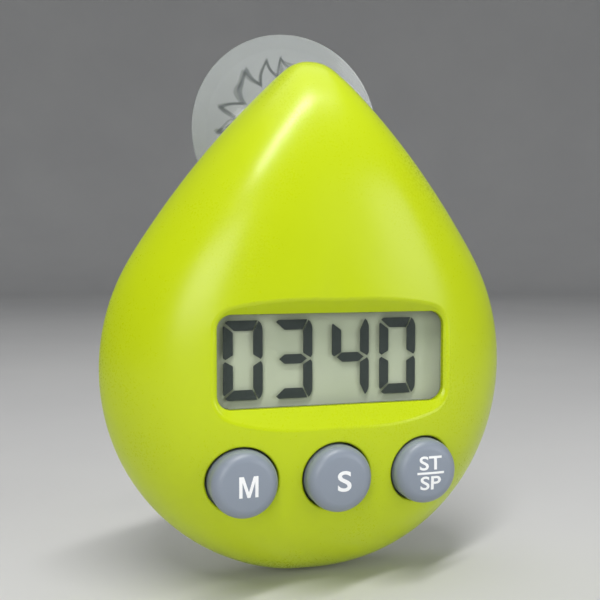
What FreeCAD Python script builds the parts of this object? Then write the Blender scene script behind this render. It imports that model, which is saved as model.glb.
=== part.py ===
"""Drop-shaped digital kitchen timer that hangs from a suction cup.

Frame: millimetres, +Z up, +Y into the wall, front face towards -Y. The origin is
the centre of the suction cup on the wall plane, so the wall is Y = 0.
"""
import FreeCAD, Part
import math
import os

V = FreeCAD.Vector

# ---- driving dimensions: outline of the case (seen from the front) ----
BODY_RADIUS = 39.75         # radius of the round lower part
SIDE_RADIUS = 166.0         # radius of the gently bowed flanks
APEX_RADIUS = 7.4           # radius of the rounded tip
BODY_HEIGHT = 97.5          # tip to bottom
TIP_ABOVE_CUP = 10.8        # the tip stands this far above the cup's axis

# ---- driving dimensions: depth ----
CASE_TO_WALL = 9.2          # back of the case to the wall
REAR_DEPTH = 7.8            # parting plane to the flat back
FRONT_RISE = 17.3           # parting plane to the crown of the front
FRONT_FLATNESS = 3.2        # how flat the middle of the front crown stays (2 is an ellipse)
FRONT_SHOULDER = 1.5        # how soon its shoulders fall away (2 is an ellipse)
REAR_POWER = 2.3            # squareness of the rounded edge of the back
FLAT_SHARE = 0.62           # size of the flat back, as a share of the outline
WALL = 2.0

LEVELS = 12                 # contour sections between the crown and the parting plane
FIRST_SHARE = 0.1           # size of the flat innermost contour, inside the window

# ---- display window ----
WINDOW_UP = 42.4            # window centre above the bottom of the case
WINDOW_WIDTH = 42.0
WINDOW_HEIGHT = 16.4
WINDOW_CORNER = 2.6
LENS_DEPTH = 31.8           # lens face to the wall
BEVEL_TOP = 2.8             # width of the dish's slope above the window
BEVEL_BOTTOM = 4.2
BEVEL_SIDE = 3.2
BEVEL_DEPTH = 2.4
BEVEL_SOFTEN = 1.0          # rounding where the dish meets the crown
BEVEL_LAND = 0.25           # straight wall above the lens face
LENS_STEP = 0.8             # lens face to its seat in the shell
LENS_FLANGE = 1.9           # flange width round the lens
LENS_FLANGE_THICK = 0.6
TAPE_THICK = 0.2
TAPE_WIDTH = 1.3
FIT = 0.1                   # gap round parts that drop into a pocket
POCKET_GAP = 0.3            # room round flanges and frames inside the shell

# ---- liquid crystal display and its frame ----
GLASS_WIDTH = 45.0
GLASS_HEIGHT = 22.0
GLASS_LEDGE = 2.0           # contact ledge above and below the rear glass
GLASS_THICK = 0.6
CELL_GAP = 0.08
REFLECTOR_THICK = 0.2
FRAME_WALL = 1.2
ZEBRA_THICK = 1.5

# ---- circuit board ----
BOARD_FRONT = 24.6          # board's front face to the wall
BOARD_THICK = 1.2
BOARD_EDGE = 2.1            # board screws' axes to the board's sides and to the display frame
BOARD_TOP_UP = 57.7         # above the bottom of the case
BOARD_BOTTOM_UP = 17.7
BOARD_CORNER = 12.0
BOARD_SCREWS_UP = (48.2, 29.2)
BOARD_SCREW_R = 0.9
BOARD_SCREW_LENGTH = 4.2
BOARD_SCREW_HEAD_R = 1.8
BOARD_SCREW_HEAD = 1.0

# ---- push buttons ----
BUTTON_UP = 21.8            # above the bottom of the case
BUTTON_PITCH = 16.65
BUTTON_R = 5.85
BUTTON_GAP = 0.35
BUTTON_STAND = 3.4          # top of a button above the shell round it
BUTTON_SHOULDER = 2.3       # height of the rounded shoulder
BUTTON_FLAT_R = 4.1         # nearly flat middle of the button's top
BUTTON_CROWN = 0.25         # bulge of that middle
BUTTON_TRAVEL = 0.5
COLLAR_WALL = 1.3
COLLAR_END = 28.2           # guide collar's end to the wall
FLANGE_GAP = 0.1
FLANGE_THICK = 0.8
FLANGE_OVERLAP = 0.75
STEM_R = 2.4
STEM_LENGTH = 0.2
HOLE_FILLET = 0.35

# ---- tactile switches ----
SWITCH_SIZE = 5.2
SWITCH_HEIGHT = 1.9
SWITCH_SKIN = 0.3           # base and roof thickness
CHAMBER_R = 2.3
PLUNGER_R = 1.5
PLUNGER_FLANGE_R = 2.0
PLUNGER_FIT = 0.08
DOME_R = 1.9
DOME_RISE = 0.35
DOME_SKIN = 0.08
DOME_GAP = 0.05             # a pressed plunger stops this far above its dome

# ---- fastenings of the case ----
SCREW_R = 1.0
SCREW_LENGTH = 10.0
SCREW_HEAD_R = 2.0
SCREW_HEAD_THICK = 1.3
SCREW_SINK = 5.5            # seat of a head below the flat back
BOSS_R = 2.4
SCREW_HOLE_GAP = 0.3
PILOT_GAP = 0.05
UPPER_SCREW_DROP = 15.5
UPPER_SCREW_INSET = 8.7     # axis to the outline, measured across
LOWER_SCREW_INSET = 6.1
LOWER_SCREW_ANGLE = 39.0    # degrees below the centre of the round part

# ---- joint between the shells ----
LIP_THICK = 1.2
LIP_HEIGHT = 1.6
LIP_GAP = 0.2
SEAL_INSET = 1.0
SEAL_DEPTH = 1.0
SEAL_GAP = 0.05

# ---- battery, its well and its door ----
BATTERY_UP = 26.7           # above the bottom of the case
CELL_R = 10.0
CELL_THICK = 3.2
CELL_ROOM = 0.4             # cell to the inside of the door
CELL_LIFT = 0.6             # spring contact holds the cell this far off the floor
WELL_GAP = 0.35
WELL_FLOOR = 1.2
WELL_WALL = 1.4
DOOR_RIM = 0.3              # edge of the door beyond its lugs
DOOR_GAP = 0.3
DOOR_THICK = 1.8
SKIRT_GAP = 0.3             # skirt to the cell inside and to the ledge outside
SKIRT_WALL = 1.0
SEAT_GAP = 0.05
LEDGE_THICK = 1.3
DOOR_TURN = 40.0            # degrees from locked to free
LUG_REACH = 1.0
LUG_THICK = 0.73
LUG_PLAY = 0.12
LUG_ARC = 26.0
LUG_COUNT = 3
COIN_SLOT_LENGTH = 13.0
COIN_SLOT_WIDTH = 1.8
COIN_SLOT_DEPTH = 0.8
ORING_R = 0.5
ORING_GAP = 0.08
CONTACT_THICK = 0.25
CONTACT_WIDTH = 4.0
TAIL_LENGTH = 2.0

# ---- piezo sounder ----
SOUNDER_UP = 56.7           # above the bottom of the case
SOUNDER_R = 10.0
SOUNDER_PLATE = 0.2
CERAMIC_R = 7.0
CERAMIC_THICK = 0.25
SOUNDER_RING = 1.0
SOUNDER_LEDGE = 1.2
SOUNDER_CAVITY = 1.2
SOUND_HOLE_R = 0.6
SOUND_HOLE_CIRCLE_R = 2.6
SOUND_HOLE_COUNT = 6

# ---- suction cup and the keyhole it snaps into ----
CUP_R = 20.0
CUP_LAND = 3.0              # flat ring that meets the wall
CUP_EDGE = 0.7
CUP_HOLLOW = 1.3            # air space at the middle once pressed on
CUP_BACK = 4.6              # thickness where the cup meets its shoulder
SHOULDER_R = 6.2
NECK_R = 3.1
NECK_GAP = 0.06
HEAD_R = 4.8
HEAD_THICK = 1.8
HEAD_GAP = 0.3
AXIAL_GAP = 0.1
KEY_SHIFT = 9.5             # entry hole below the seat
KEY_WALL = 1.8
KEY_NIP = 0.25              # the throat is this much narrower than the neck's radius
POCKET_WALL = 1.4
POCKET_SPARE = 0.5

# ---- small parts on the board ----
BLOB_BALL_R = 7.4           # sphere the epoxy drop is part of
BLOB_RISE = 1.3
WIRE_R = 0.45

# ---- derived places ----
TIP_Z = TIP_ABOVE_CUP
BOTTOM_Z = TIP_Z - BODY_HEIGHT
ROUND_Z = BOTTOM_Z + BODY_RADIUS                # centre of the lower circle
PART_Y = -(CASE_TO_WALL + REAR_DEPTH)
BACK_Y = -CASE_TO_WALL
WINDOW_Z = BOTTOM_Z + WINDOW_UP
LENS_Y = -LENS_DEPTH
SEAT_Y = LENS_Y + LENS_STEP
FLANGE_Y = SEAT_Y + TAPE_THICK
LENS_BACK_Y = FLANGE_Y + LENS_FLANGE_THICK
GLASS_Y = LENS_BACK_Y + FIT
BOARD_Y = -BOARD_FRONT
BOARD_BACK_Y = BOARD_Y + BOARD_THICK
BOARD_SCREW_X = GLASS_WIDTH / 2 + FIT + FRAME_WALL + BOARD_EDGE
BOARD_WIDTH = 2 * (BOARD_SCREW_X + BOARD_EDGE)
BUTTON_Z = BOTTOM_Z + BUTTON_UP
HOLE_R = BUTTON_R + BUTTON_GAP
COLLAR_Y = -COLLAR_END
BUTTON_FLANGE_Y = COLLAR_Y + FLANGE_GAP
BUTTON_BACK_Y = BUTTON_FLANGE_Y + FLANGE_THICK
BATTERY_Z = BOTTOM_Z + BATTERY_UP
SOUNDER_Z = BOTTOM_Z + SOUNDER_UP
STEM_Y = BUTTON_BACK_Y + STEM_LENGTH
SWITCH_TOP_Y = BOARD_Y - SWITCH_HEIGHT
DOME_TOP_Y = BOARD_Y - SWITCH_SKIN - DOME_RISE
PLUNGER_END_Y = DOME_TOP_Y - DOME_GAP - BUTTON_TRAVEL
INNER_BACK_Y = BACK_Y - WALL
HEAD_SEAT_Y = BACK_Y - SCREW_SINK
DOOR_IN_Y = BACK_Y - DOOR_THICK
LEDGE_Y = DOOR_IN_Y - SEAT_GAP
LEDGE_END_Y = LEDGE_Y - LEDGE_THICK
SKIRT_IN_R = CELL_R + SKIRT_GAP
SKIRT_R = SKIRT_IN_R + SKIRT_WALL
LUG_R = SKIRT_R + LUG_REACH
DOOR_R = LUG_R + DOOR_RIM
CHAMBER_WALL_R = LUG_R + DOOR_GAP
SKIRT_Y = LEDGE_END_Y - LUG_PLAY - LUG_THICK
WELL_R = CHAMBER_WALL_R + WELL_WALL
CELL_Y = DOOR_IN_Y - CELL_ROOM - CELL_THICK
FLOOR_Y = CELL_Y - CELL_LIFT
POCKET_R = HEAD_R + HEAD_GAP
PLATE_IN_Y = BACK_Y - KEY_WALL
HEAD_Y = PLATE_IN_Y - AXIAL_GAP
HEAD_END_Y = HEAD_Y - HEAD_THICK
POCKET_Y = HEAD_END_Y - POCKET_SPARE
SOUNDER_Y = INNER_BACK_Y - SOUNDER_CAVITY
BUTTONS = {"minute": -BUTTON_PITCH, "second": 0.0, "start_stop": BUTTON_PITCH}


# ---------------------------------------------------------------- outline
def side_arc():
    """Centre of a flank's arc, and the angles of its two tangent points."""
    spare = SIDE_RADIUS - BODY_RADIUS
    tip = TIP_Z - APEX_RADIUS - ROUND_Z
    sine = ((SIDE_RADIUS - APEX_RADIUS) ** 2 - spare ** 2 - tip ** 2) / (2 * tip * spare)
    low = math.asin(sine)
    centre = (-spare * math.cos(low), ROUND_Z - spare * math.sin(low))
    high = math.atan2(TIP_Z - APEX_RADIUS - centre[1], -centre[0])
    return centre, low, high


(SIDE_X, SIDE_Z), LOW_ANGLE, HIGH_ANGLE = side_arc()


def half_width(z, inset):
    """Half the case's width at height z, with the outline moved inwards."""
    if z <= ROUND_Z + (BODY_RADIUS - inset) * math.sin(LOW_ANGLE):
        return math.sqrt(max(0.0, (BODY_RADIUS - inset) ** 2 - (z - ROUND_Z) ** 2))
    if z <= SIDE_Z + (SIDE_RADIUS - inset) * math.sin(HIGH_ANGLE):
        return SIDE_X + math.sqrt((SIDE_RADIUS - inset) ** 2 - (z - SIDE_Z) ** 2)
    apex_z = TIP_Z - APEX_RADIUS
    return math.sqrt(max(0.0, (APEX_RADIUS - inset) ** 2 - (z - apex_z) ** 2))


SCREW_PLACES = (
    (half_width(-UPPER_SCREW_DROP, 0.0) - UPPER_SCREW_INSET, -UPPER_SCREW_DROP),
    ((BODY_RADIUS - LOWER_SCREW_INSET) * math.cos(math.radians(LOWER_SCREW_ANGLE)),
     ROUND_Z - (BODY_RADIUS - LOWER_SCREW_INSET) * math.sin(math.radians(LOWER_SCREW_ANGLE))))


def arc_point(centre_x, centre_z, radius, angle):
    return centre_x + radius * math.cos(angle), centre_z + radius * math.sin(angle)


def right_edge(inset, spans=(14, 8, 4)):
    """Points up the right edge of the outline, from the bottom to the tip."""
    arcs = ((0.0, ROUND_Z, BODY_RADIUS, -math.pi / 2, LOW_ANGLE),
            (SIDE_X, SIDE_Z, SIDE_RADIUS, LOW_ANGLE, HIGH_ANGLE),
            (0.0, TIP_Z - APEX_RADIUS, APEX_RADIUS, HIGH_ANGLE, math.pi / 2))
    points = []
    for (cx, cz, radius, start, end), count in zip(arcs, spans):
        for i in range(count):
            angle = start + (end - start) * i / count
            points.append(arc_point(cx, cz, radius - inset, angle))
    return points + [(0.0, TIP_Z - inset)]


def outline_points(inset):
    right = right_edge(inset)
    return right + [(-x, z) for x, z in right[-2:0:-1]]


def outline_face(inset, y):
    """Flat face of the outline, made of tangent arcs, in the plane at y."""
    def arc(cx, cz, radius, start, end, side):
        ends = [arc_point(cx, cz, radius - inset, a) for a in (start, (start + end) / 2, end)]
        return Part.Arc(*[V(side * x, y, z) for x, z in ends]).toShape()

    edges = [arc(0, ROUND_Z, BODY_RADIUS, -math.pi - LOW_ANGLE, LOW_ANGLE, 1)]
    for side in (1, -1):
        edges.append(arc(SIDE_X, SIDE_Z, SIDE_RADIUS, LOW_ANGLE, HIGH_ANGLE, side))
    apex = TIP_Z - APEX_RADIUS
    edges.append(arc(0, apex, APEX_RADIUS, HIGH_ANGLE, math.pi - HIGH_ANGLE, 1))
    return Part.Face(Part.Wire(Part.__sortEdges__(edges)))


def outline_prism(inset, y_low, y_high):
    return outline_face(inset, y_low).extrude(V(0, y_high - y_low, 0))


def rise_at(x, z, inset, rise):
    """Height of the front's skin above the parting plane, at a point inside the outline."""
    reach = (TIP_Z - inset - ROUND_Z) if z > ROUND_Z else (BODY_RADIUS - inset)
    along = max(0.0, 1.0 - min(1.0, abs(z - ROUND_Z) / reach) ** FRONT_FLATNESS)
    width = half_width(z, inset)
    share = min(1.0, abs(x) / width) if width > 1e-9 else 1.0
    across = max(0.0, 1.0 - share ** FRONT_FLATNESS)
    return rise * (along * across) ** (1.0 / FRONT_SHOULDER)


def lofted(inset, shares, lift_at):
    """Solid through scaled copies of the outline, each point raised by lift_at(share, x, z)."""
    edge = outline_points(inset)
    lengths = [0.0]
    for a, b in zip(edge, edge[1:] + edge[:1]):
        lengths.append(lengths[-1] + math.dist(a, b))
    knots = [length / lengths[-1] for length in lengths]
    sections = []
    for share in shares:
        ring = []
        for x, z in edge:
            px, pz = share * x, ROUND_Z + share * (z - ROUND_Z)
            ring.append(V(px, PART_Y + lift_at(share, px, pz), pz))
        curve = Part.BSplineCurve()
        curve.interpolate(Points=ring, PeriodicFlag=True, Parameters=knots)
        sections.append(Part.Wire(curve.toShape()))
    return Part.makeLoft(sections, True, False, False, 5)


def eased(i, power):
    """Even steps along a superellipse's curve, as shares of its half width."""
    return math.sin(math.pi / 2 * i / LEVELS) ** (2.0 / power)


def front_solid(inset):
    """Between the parting plane and the crown of the front, moved inwards by inset."""
    shares = [FIRST_SHARE] + [eased(i, FRONT_FLATNESS) for i in range(1, LEVELS + 1)]
    rise = FRONT_RISE - inset

    def lift(share, x, z):
        if share in (shares[0], shares[-1]):
            return -rise if share == shares[0] else 0.0
        return -rise_at(x, z, inset, rise)

    return lofted(inset, shares, lift)


def rear_solid(inset):
    """Between the parting plane and the flat back with its rounded edge."""
    steps = [eased(i, REAR_POWER) for i in range(LEVELS + 1)]
    shares = [FLAT_SHARE + (1 - FLAT_SHARE) * step for step in steps]
    heights = dict(zip(shares, [(1 - step ** REAR_POWER) ** (1 / REAR_POWER) for step in steps]))

    def lift(share, x, z):
        return (REAR_DEPTH - inset) * heights[share]

    return lofted(inset, shares, lift)


def front_skin_y(x, z):
    return PART_Y - rise_at(x, z, 0.0, FRONT_RISE)


# ---------------------------------------------------------------- helpers
def box(x_low, x_high, y_low, y_high, z_low, z_high):
    return Part.makeBox(x_high - x_low, y_high - y_low, z_high - z_low, V(x_low, y_low, z_low))


def rod(radius, y_low, y_high, x=0.0, z=0.0):
    return Part.makeCylinder(radius, y_high - y_low, V(x, y_low, z), V(0, 1, 0))


def tube(outer, inner, y_low, y_high, x=0.0, z=0.0):
    return rod(outer, y_low, y_high, x, z).cut(rod(inner, y_low - 1, y_high + 1, x, z))


def round_rect_face(width, height, corner, y, z=0.0, x=0.0):
    solid = box(x - width / 2, x + width / 2, y, y + 1, z - height / 2, z + height / 2)
    edges = [e for e in solid.Edges if abs(e.tangentAt(e.FirstParameter).y) > 0.99]
    solid = solid.makeFillet(corner, edges)
    return [f for f in solid.Faces if f.normalAt(0, 0).y < -0.99][0]


def round_rect(width, height, corner, y_low, y_high, z=0.0, x=0.0):
    return round_rect_face(width, height, corner, y_low, z, x).extrude(V(0, y_high - y_low, 0))


def turned(profile, x=0.0, z=0.0):
    """Solid of revolution round the Y axis through (x, z), from (radius, y) points."""
    points = [V(x + r, y, z) for r, y in profile]
    wire = Part.makePolygon(points + points[:1])
    return Part.Face(wire).revolve(V(x, 0, z), V(0, 1, 0), 360)


def joined(first, *others):
    return first.multiFuse(list(others)).removeSplitter()


def export(name, shape):
    shape.exportStep(os.path.join("parts", name + ".step"))


# ---------------------------------------------------------------- front of the case
def mirrored(places):
    return [(side * x, z) for x, z in places for side in (-1, 1)]


def board_screw_places():
    return mirrored([(BOARD_SCREW_X, BOTTOM_Z + up) for up in BOARD_SCREWS_UP])


def window_dish():
    """The shallow bevelled dish round the display."""
    land_y = LENS_Y - BEVEL_LAND
    inner = round_rect_face(WINDOW_WIDTH, WINDOW_HEIGHT, WINDOW_CORNER, land_y, WINDOW_Z)
    outer = round_rect_face(WINDOW_WIDTH + 2 * BEVEL_SIDE, WINDOW_HEIGHT + BEVEL_TOP + BEVEL_BOTTOM,
                            WINDOW_CORNER + BEVEL_SIDE, land_y - BEVEL_DEPTH,
                            WINDOW_Z + (BEVEL_TOP - BEVEL_BOTTOM) / 2)
    return Part.makeLoft([inner.OuterWire, outer.OuterWire], True, True)


def dished(crown):
    """The crown with the dish cut in, and a soft edge between them."""
    body = crown.cut(window_dish())
    skin = max(body.Faces, key=lambda face: face.Area if face.BoundBox.YLength > 1 else 0)
    inside = [edge for edge in skin.Edges if abs(edge.BoundBox.Center.z - WINDOW_Z) < WINDOW_HEIGHT
              and edge.BoundBox.YMax < LENS_Y and edge.BoundBox.XLength < WINDOW_WIDTH
              and max(abs(edge.BoundBox.XMin), abs(edge.BoundBox.XMax)) < WINDOW_WIDTH]
    return body.makeFillet(BEVEL_SOFTEN, inside)


def flush_pocket(width, height, y):
    """Room behind the window for a part of this size, open towards the back."""
    return round_rect(width + 2 * POCKET_GAP, height + 2 * POCKET_GAP, 1.0, y, BOARD_Y, WINDOW_Z)


def joint_groove():
    """Room in the front's rim for the seal and for the lip of the rear cover."""
    seal_room = outline_prism(SEAL_INSET, PART_Y - SEAL_DEPTH, PART_Y + 1)
    lip_room = outline_prism(WALL + LIP_GAP / 2, PART_Y - LIP_HEIGHT - LIP_GAP, PART_Y + 1)
    middle = outline_prism(WALL + 2 * LIP_GAP + LIP_THICK, PART_Y - 5, PART_Y + 5)
    return seal_room.fuse(lip_room).cut(middle)


def front_shell():
    outer = front_solid(0.0)
    cavity = front_solid(WALL)
    ahead = PART_Y - 2 * FRONT_RISE
    ribs = [round_rect(GLASS_WIDTH + 2 * WALL, GLASS_HEIGHT + 2 * WALL, WINDOW_CORNER,
                       ahead, SEAT_Y, WINDOW_Z)]
    for x in BUTTONS.values():
        ribs.append(rod(HOLE_R + COLLAR_WALL, ahead, COLLAR_Y, x, BUTTON_Z))
    for x, z in mirrored(SCREW_PLACES):
        ribs.append(rod(BOSS_R, ahead, PART_Y, x, z))
    for x, z in board_screw_places():
        ribs.append(rod(2 * BOARD_SCREW_R, ahead, BOARD_Y, x, z))
    for rib in ribs:
        cavity = cavity.cut(rib)
    shell = dished(outer).cut(joint_groove()).cut(cavity)
    cutters = [round_rect(WINDOW_WIDTH, WINDOW_HEIGHT, WINDOW_CORNER, ahead, PART_Y, WINDOW_Z),
               flush_pocket(WINDOW_WIDTH + 2 * LENS_FLANGE, WINDOW_HEIGHT + 2 * LENS_FLANGE, SEAT_Y),
               flush_pocket(GLASS_WIDTH + 2 * (FIT + FRAME_WALL),
                            GLASS_HEIGHT + 2 * (FIT + FRAME_WALL), LENS_BACK_Y)]
    for x in BUTTONS.values():
        cutters.append(rod(HOLE_R, ahead, PART_Y, x, BUTTON_Z))
        cutters.append(rod(HOLE_R + FLANGE_OVERLAP + POCKET_GAP, COLLAR_Y, PART_Y, x, BUTTON_Z))
    for x, z in mirrored(SCREW_PLACES):
        cutters.append(rod(SCREW_R + PILOT_GAP, HEAD_SEAT_Y - SCREW_LENGTH - SCREW_R,
                           PART_Y + 1, x, z))
    for x, z in board_screw_places():
        cutters.append(rod(BOARD_SCREW_R + PILOT_GAP, BOARD_Y - BOARD_SCREW_LENGTH,
                           BOARD_Y + 1, x, z))
    for cutter in cutters:
        shell = shell.cut(cutter)
    return rounded_holes(shell)


def rounded_holes(shell):
    """Breaks the front edges of the button holes."""
    edges = []
    for edge in shell.Edges:
        halfway = (edge.FirstParameter + edge.LastParameter) / 2
        spot = edge.valueAt(halfway)
        from_axis = min(math.hypot(spot.x - x, spot.z - BUTTON_Z) for x in BUTTONS.values())
        round_it = abs(edge.tangentAt(halfway).y) < 0.9
        if abs(from_axis - HOLE_R) < 0.01 and spot.y < COLLAR_Y - HOLE_FILLET and round_it:
            edges.append(edge)
    return shell.makeFillet(HOLE_FILLET, edges)


# ---------------------------------------------------------------- back of the case
def key_slot(radius, y_low, y_high, drop=KEY_SHIFT):
    """Upright stadium from the seat at the origin down to the entry hole."""
    return joined(rod(radius, y_low, y_high), rod(radius, y_low, y_high, 0, -drop),
                  box(-radius, radius, y_low, y_high, -drop, 0))


def rear_cover():
    outer = rear_solid(0.0)
    cavity = rear_solid(WALL)
    ribs = [key_slot(POCKET_R + POCKET_WALL, POCKET_Y - POCKET_WALL, 0),
            rod(WELL_R, FLOOR_Y - WELL_FLOOR, 0, 0, BATTERY_Z),
            rod(SOUNDER_R + FIT + SOUNDER_RING, SOUNDER_Y - SOUNDER_PLATE - CERAMIC_THICK,
                0, 0, SOUNDER_Z)]
    for x, z in mirrored(SCREW_PLACES):
        ribs.append(rod(SCREW_HEAD_R + SCREW_HOLE_GAP + SOUNDER_RING, PART_Y, 0, x, z))
    for rib in ribs:
        cavity = cavity.cut(rib)
    cover = outer.cut(cavity)
    lip = outline_prism(WALL + LIP_GAP, PART_Y - LIP_HEIGHT, PART_Y + WALL)
    lip = lip.cut(outline_prism(WALL + LIP_GAP + LIP_THICK, PART_Y - 5, PART_Y + 5))
    pad = key_slot(POCKET_R + POCKET_WALL, POCKET_Y - POCKET_WALL, BACK_Y)
    cover = cover.fuse(pad).fuse(lip)
    for cutter in keyhole_cutters() + door_cutters() + sounder_cutters() + screw_cutters():
        cover = cover.cut(cutter)
    return cover


def keyhole_cutters():
    throat = NECK_R - KEY_NIP
    return [key_slot(POCKET_R, POCKET_Y, PLATE_IN_Y),
            rod(POCKET_R, PLATE_IN_Y - 1, 0, 0, -KEY_SHIFT),
            rod(NECK_R + NECK_GAP, PLATE_IN_Y - 1, 0),
            box(-throat, throat, PLATE_IN_Y - 1, 0, -KEY_SHIFT, 0)]


def door_cutters():
    cutters = [rod(DOOR_R + DOOR_GAP, LEDGE_Y, 0, 0, BATTERY_Z),
               rod(SKIRT_R + DOOR_GAP, LEDGE_END_Y - 1, 0, 0, BATTERY_Z),
               rod(CHAMBER_WALL_R, SKIRT_Y - DOOR_GAP, LEDGE_END_Y, 0, BATTERY_Z),
               rod(CELL_R + WELL_GAP, FLOOR_Y, 0, 0, BATTERY_Z)]
    for start in lug_angles(DOOR_TURN):
        cutters.append(ring_sector(CHAMBER_WALL_R, LEDGE_END_Y - 1, 0, start - 4, LUG_ARC + 8))
    for x, half in ((CELL_R - 2, CONTACT_WIDTH / 4), (-CELL_R - CONTACT_THICK / 2, CONTACT_WIDTH / 2)):
        cutters.append(box(x - 0.5, x + 0.5, FLOOR_Y - WELL_FLOOR - 1, FLOOR_Y + 1.5,
                           BATTERY_Z - half - 0.3, BATTERY_Z + half + 0.3))
    return cutters


def sounder_cutters():
    cutters = [rod(SOUNDER_R + FIT, INNER_BACK_Y - 9, SOUNDER_Y, 0, SOUNDER_Z),
               rod(SOUNDER_R - SOUNDER_LEDGE, SOUNDER_Y - 1, INNER_BACK_Y, 0, SOUNDER_Z)]
    for i in range(SOUND_HOLE_COUNT):
        angle = 2 * math.pi * i / SOUND_HOLE_COUNT
        cutters.append(rod(SOUND_HOLE_R, SOUNDER_Y, 0, SOUND_HOLE_CIRCLE_R * math.cos(angle),
                           SOUNDER_Z + SOUND_HOLE_CIRCLE_R * math.sin(angle)))
    return cutters


def screw_cutters():
    cutters = []
    for x, z in mirrored(SCREW_PLACES):
        cutters.append(rod(SCREW_HEAD_R + SCREW_HOLE_GAP, HEAD_SEAT_Y, 0, x, z))
        cutters.append(rod(SCREW_R + SCREW_HOLE_GAP, PART_Y - 1, 0, x, z))
    return cutters


def case_seal():
    y_high = PART_Y
    ring = outline_prism(SEAL_INSET + SEAL_GAP, PART_Y - SEAL_DEPTH, y_high)
    return ring.cut(outline_prism(WALL, PART_Y - 3, y_high + 1))


# ---------------------------------------------------------------- battery door
def lug_angles(turn):
    return [turn + 360.0 * i / LUG_COUNT - LUG_ARC / 2 + 90 for i in range(LUG_COUNT)]


def ring_sector(outer, y_low, y_high, start, span):
    """Wedge of a cylinder round the battery's axis, from a start angle."""
    wedge = Part.makeCylinder(outer, y_high - y_low, V(0, 0, 0), V(0, 0, 1), span)
    wedge.rotate(V(0, 0, 0), V(0, 0, 1), start)
    wedge.rotate(V(0, 0, 0), V(1, 0, 0), 90)
    wedge.translate(V(0, y_high, BATTERY_Z))
    return wedge


def battery_door():
    disc = rod(DOOR_R, DOOR_IN_Y, BACK_Y, 0, BATTERY_Z)
    pieces = [rod(SKIRT_R, SKIRT_Y, DOOR_IN_Y, 0, BATTERY_Z)]
    for start in lug_angles(0):
        pieces.append(ring_sector(LUG_R, SKIRT_Y, SKIRT_Y + LUG_THICK, start, LUG_ARC))
    door = joined(disc, *pieces)
    door = door.cut(rod(SKIRT_IN_R, SKIRT_Y - 1, DOOR_IN_Y, 0, BATTERY_Z))
    groove_y = BACK_Y - DOOR_THICK / 2
    groove = tube(DOOR_R + 1, oring_major() - ORING_R, groove_y - ORING_R, groove_y + ORING_R,
                  0, BATTERY_Z)
    slot = box(-COIN_SLOT_LENGTH / 2, COIN_SLOT_LENGTH / 2, BACK_Y - COIN_SLOT_DEPTH, 0,
               BATTERY_Z - COIN_SLOT_WIDTH / 2, BATTERY_Z + COIN_SLOT_WIDTH / 2)
    return door.cut(groove).cut(slot)


def oring_major():
    return DOOR_R + DOOR_GAP - ORING_GAP - ORING_R


def door_oring():
    centre = V(0, BACK_Y - DOOR_THICK / 2, BATTERY_Z)
    return Part.makeTorus(oring_major(), ORING_R, centre, V(0, 1, 0))


def contact_negative():
    """Flat strip on the floor whose middle springs up to the cell, with a solder tail."""
    low, high = FLOOR_Y, CELL_Y
    reach, top, bend = CELL_R - 2, 2.5, 5.5
    t = CONTACT_THICK
    profile = [(-reach, low), (-bend, low), (-top, high - t), (top, high - t), (bend, low),
               (reach, low), (reach, low + t), (bend, low + t), (top, high), (-top, high),
               (-bend, low + t), (-reach, low + t)]
    half = CONTACT_WIDTH / 2
    wire = Part.makePolygon([V(x, y, BATTERY_Z - half) for x, y in profile + profile[:1]])
    strip = Part.Face(wire).extrude(V(0, 0, CONTACT_WIDTH))
    tail = box(reach - t, reach, low - TAIL_LENGTH, low + t, BATTERY_Z - half / 2,
               BATTERY_Z + half / 2)
    return joined(strip, tail)


def contact_positive():
    """Upright blade that bears on the rim of the cell, with a solder tail."""
    half = CONTACT_WIDTH / 2
    return box(-CELL_R - CONTACT_THICK, -CELL_R, FLOOR_Y - TAIL_LENGTH, FLOOR_Y + 1.4,
               BATTERY_Z - half, BATTERY_Z + half)


def coin_cell():
    can = rod(CELL_R, CELL_Y + 0.5, CELL_Y + CELL_THICK, 0, BATTERY_Z)
    cap = rod(CELL_R - 1.2, CELL_Y, CELL_Y + 0.5, 0, BATTERY_Z)
    rim = [e for e in can.Edges if e.BoundBox.YMin > CELL_Y + CELL_THICK - 0.01]
    return joined(can.makeFillet(0.4, rim), cap)


# ---------------------------------------------------------------- display
def display_lens():
    plug = round_rect(WINDOW_WIDTH - 2 * FIT, WINDOW_HEIGHT - 2 * FIT, WINDOW_CORNER - FIT,
                      LENS_Y, FLANGE_Y, WINDOW_Z)
    flange = round_rect(WINDOW_WIDTH + 2 * LENS_FLANGE, WINDOW_HEIGHT + 2 * LENS_FLANGE,
                        WINDOW_CORNER, FLANGE_Y, LENS_BACK_Y, WINDOW_Z)
    return joined(plug, flange)


def lens_tape():
    frame = round_rect(WINDOW_WIDTH + 2 * (FIT + TAPE_WIDTH), WINDOW_HEIGHT + 2 * (FIT + TAPE_WIDTH),
                       WINDOW_CORNER, SEAT_Y, FLANGE_Y, WINDOW_Z)
    hole = round_rect(WINDOW_WIDTH + 2 * FIT, WINDOW_HEIGHT + 2 * FIT, WINDOW_CORNER + FIT,
                      SEAT_Y - 1, FLANGE_Y + 1, WINDOW_Z)
    return frame.cut(hole)


def plate(width, height, y, thick):
    return box(-width / 2, width / 2, y, y + thick, WINDOW_Z - height / 2, WINDOW_Z + height / 2)


REAR_GLASS_Y = GLASS_Y + GLASS_THICK + CELL_GAP
REAR_GLASS_HEIGHT = GLASS_HEIGHT - 2 * GLASS_LEDGE
REFLECTOR_Y = REAR_GLASS_Y + GLASS_THICK
FRAME_PLATE_Y = REFLECTOR_Y + REFLECTOR_THICK
ZEBRA_Z = GLASS_HEIGHT / 2 - GLASS_LEDGE / 2
ZEBRA_WIDTH = GLASS_WIDTH - 5.0


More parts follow.
